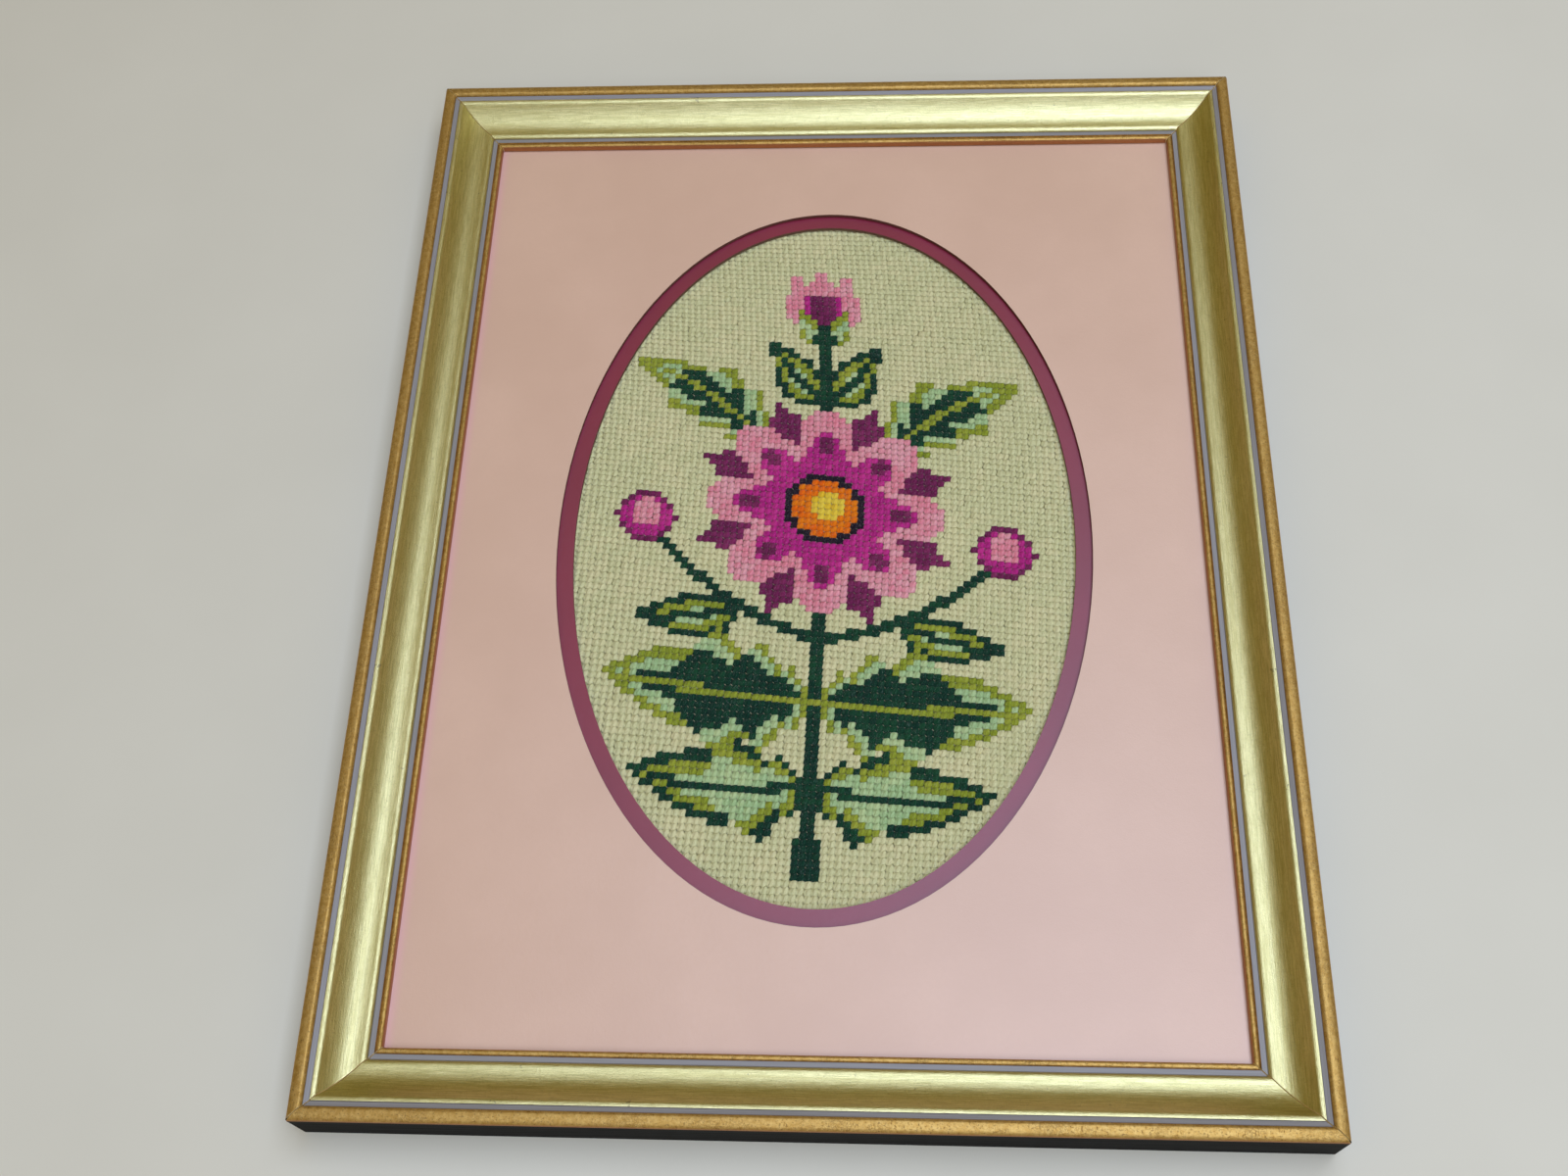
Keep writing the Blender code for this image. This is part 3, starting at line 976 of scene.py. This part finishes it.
def stitched_piece(name, column, row, material, random):
    points, strand = stitch_points(column, row, random)
    quads, caps = stitch_faces(len(column))
    mesh = bpy.data.meshes.new(name)
    mesh.from_pydata(points.reshape(-1, 3), [], quads.tolist() + caps.tolist())
    place = mesh.attributes.new("strand", "FLOAT_VECTOR", "POINT")
    place.data.foreach_set("vector", strand.reshape(-1).astype(np.float32))
    mesh.shade_smooth()
    mesh.materials.append(material)
    piece = bpy.data.objects.new(name, mesh)
    bpy.context.scene.collection.objects.link(piece)
    return piece


print("Each stitch has", STITCH_SECTIONS.size * AROUND.size, "points")

# %% [markdown]
# Tapestry wool is four soft plies with a loose twist. Its finish has three scales: grooves where the plies
# wind round each other, fine fibres along them, and a slow drift of colour from stitch to stitch, because
# no two lengths of yarn take the dye alike. The grooves are painted darker, as painted shade. Where a
# stitch dives into its hole it is painted darker still, as painted shade, most of all in the deep colours.
# A few fibres are painted pale, as painted glints where they catch the light, and a little sheen stands
# for the halo of loose hairs.

# %% The wool's finish
PLIES = 4
PLY_TURN = 620.0             # radians a metre
STITCH_MIDDLE = 1.33 * MM    # half the length of the longest stitches
PIT_SHADE = {"ground": 0.1, "mint": 0.45, "yellow": 0.4}
FULL_PIT_SHADE = 0.8         # for the other yarns
PIT_SHADE_COLOR = color(14, 10, 10)
GLINT_COLOR = color(238, 234, 224)


def wool_finish(name, tone, deep_and_shade, warm):
    material, tree, shader, place = new_finish(name + "_wool")
    strand = add(tree, "Attribute", attribute_name="strand").outputs["Vector"]
    parts = add(tree, "SeparateXYZ", {0: strand})
    along, around, luck = parts.outputs[0], parts.outputs[1], parts.outputs[2]
    wound = calc(tree, "MULTIPLY_ADD", along, PLY_TURN, around)
    ply = calc(tree, "COSINE", calc(tree, "MULTIPLY", wound, float(PLIES)))
    groove = ramp(tree, ply, -1.0, 0.4, 1.0, 0.0)
    hair_place = add(tree, "CombineXYZ", {
        0: calc(tree, "MULTIPLY", along, 1400.0),
        1: calc(tree, "MULTIPLY", wound, 9.0),
        2: calc(tree, "MULTIPLY", luck, 50.0)}).outputs[0]
    hair = cloud(tree, hair_place, 1.0, 3.0, 0.65)
    drift = cloud(tree, place, 90.0, 2.0)
    fluff = cloud(tree, place, 1000.0, 3.0, 0.7)
    paint = blend_colors(tree, ramp(tree, hair, 0.25, 0.75), deep_and_shade, tone)
    paint = blend_colors(tree, ramp(tree, fluff, 0.42, 0.66, 0.0, 0.75), paint, deep_and_shade)
    # painted shade in the grooves between the plies
    paint = blend_colors(tree, calc(tree, "MULTIPLY", groove, 0.45), paint, deep_and_shade)
    lot = calc(tree, "MULTIPLY", ramp(tree, calc(tree, "MULTIPLY_ADD", luck, 0.35, drift), 0.5, 0.95), 0.6)
    paint = blend_colors(tree, lot, paint, warm)
    # painted shade where the stitch dives into its hole, at its rims and ends
    edge = ramp(tree, calc(tree, "ABSOLUTE", calc(tree, "COSINE", around)), 0.3, 1.0)
    from_middle = calc(tree, "ABSOLUTE", calc(tree, "SUBTRACT", along, STITCH_MIDDLE))
    end = ramp(tree, from_middle, 0.6 * MM, 1.2 * MM, 0.35, 1.0)
    pit = calc(tree, "MULTIPLY", calc(tree, "MULTIPLY", edge, end), PIT_SHADE.get(name, FULL_PIT_SHADE))
    paint = blend_colors(tree, pit, paint, blend_colors(tree, 0.65, deep_and_shade, PIT_SHADE_COLOR))
    # painted glints: pale fibres that catch the light
    glint = ramp(tree, hair, 0.58, 0.74, 0.0, 0.4)
    paint = blend_colors(tree, glint, paint, GLINT_COLOR)
    join(tree, paint, shader, "Base Color")
    height = calc(tree, "MULTIPLY_ADD", hair, 0.6, calc(tree, "MULTIPLY", groove, -0.9))
    join(tree, relief(tree, height, 0.24 * MM), shader, "Normal")
    shader.inputs["Roughness"].default_value = 0.85
    shader.inputs["Specular IOR Level"].default_value = 0.15
    shader.inputs["Sheen Weight"].default_value = 0.04
    shader.inputs["Sheen Roughness"].default_value = 0.5
    return material


# For each yarn: its own colour, the deeper one for its darker fibres and for the painted shade in its
# grooves and pits, and that of another dye lot.
WOOLS = {
    "ground": (color(244, 238, 182), color(214, 206, 146), color(240, 225, 168)),
    "pink": (color(255, 182, 184), color(248, 132, 146), color(255, 194, 190)),
    "magenta": (color(232, 50, 156), color(178, 28, 116), color(236, 66, 152)),
    "plum": (color(148, 44, 100), color(104, 22, 66), color(160, 54, 104)),
    "shadow": (color(46, 30, 46), color(24, 14, 26), color(54, 34, 44)),
    "orange": (color(255, 138, 0), color(255, 98, 0), color(255, 154, 10)),
    "yellow": (color(255, 222, 50), color(248, 186, 24), color(255, 228, 84)),
    "forest": (color(14, 76, 48), color(4, 44, 32), color(26, 84, 46)),
    "olive": (color(182, 190, 58), color(138, 148, 36), color(190, 188, 66)),
    "mint": (color(208, 228, 168), color(164, 194, 128), color(218, 226, 158)),
}
wool_finishes = [ready(wool_finish(name, *WOOLS[name])) for name in YARNS]

# %% [markdown]
# The stitches are worked yarn by yarn. Most of them are ground, so that yarn is shared out over three
# pieces, which keeps each mesh at a handy size. Canvas and wool are attached to the same body, because on
# the real panel the wool goes wherever the canvas goes.

# %% Work the stitches
GROUND_NAMES = ("ground_lower", "ground_middle", "ground_upper")


def work_stitches():
    random = np.random.default_rng(17)
    column, row = wanted_stitches()
    yarn = yarn_of(column, row)
    pieces = []
    for number, material in enumerate(wool_finishes):
        names = GROUND_NAMES if number == GROUND else (YARNS[number],)
        for name, share in zip(names, np.array_split(np.flatnonzero(yarn == number), len(names))):
            label = "wool_" + name
            piece = stitched_piece(label, column[share], row[share], material, random)
            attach(piece, "root")
            pieces.append(piece)
            print(f"{label}: {len(share)} stitches")
    return pieces


wool_pieces = work_stitches()
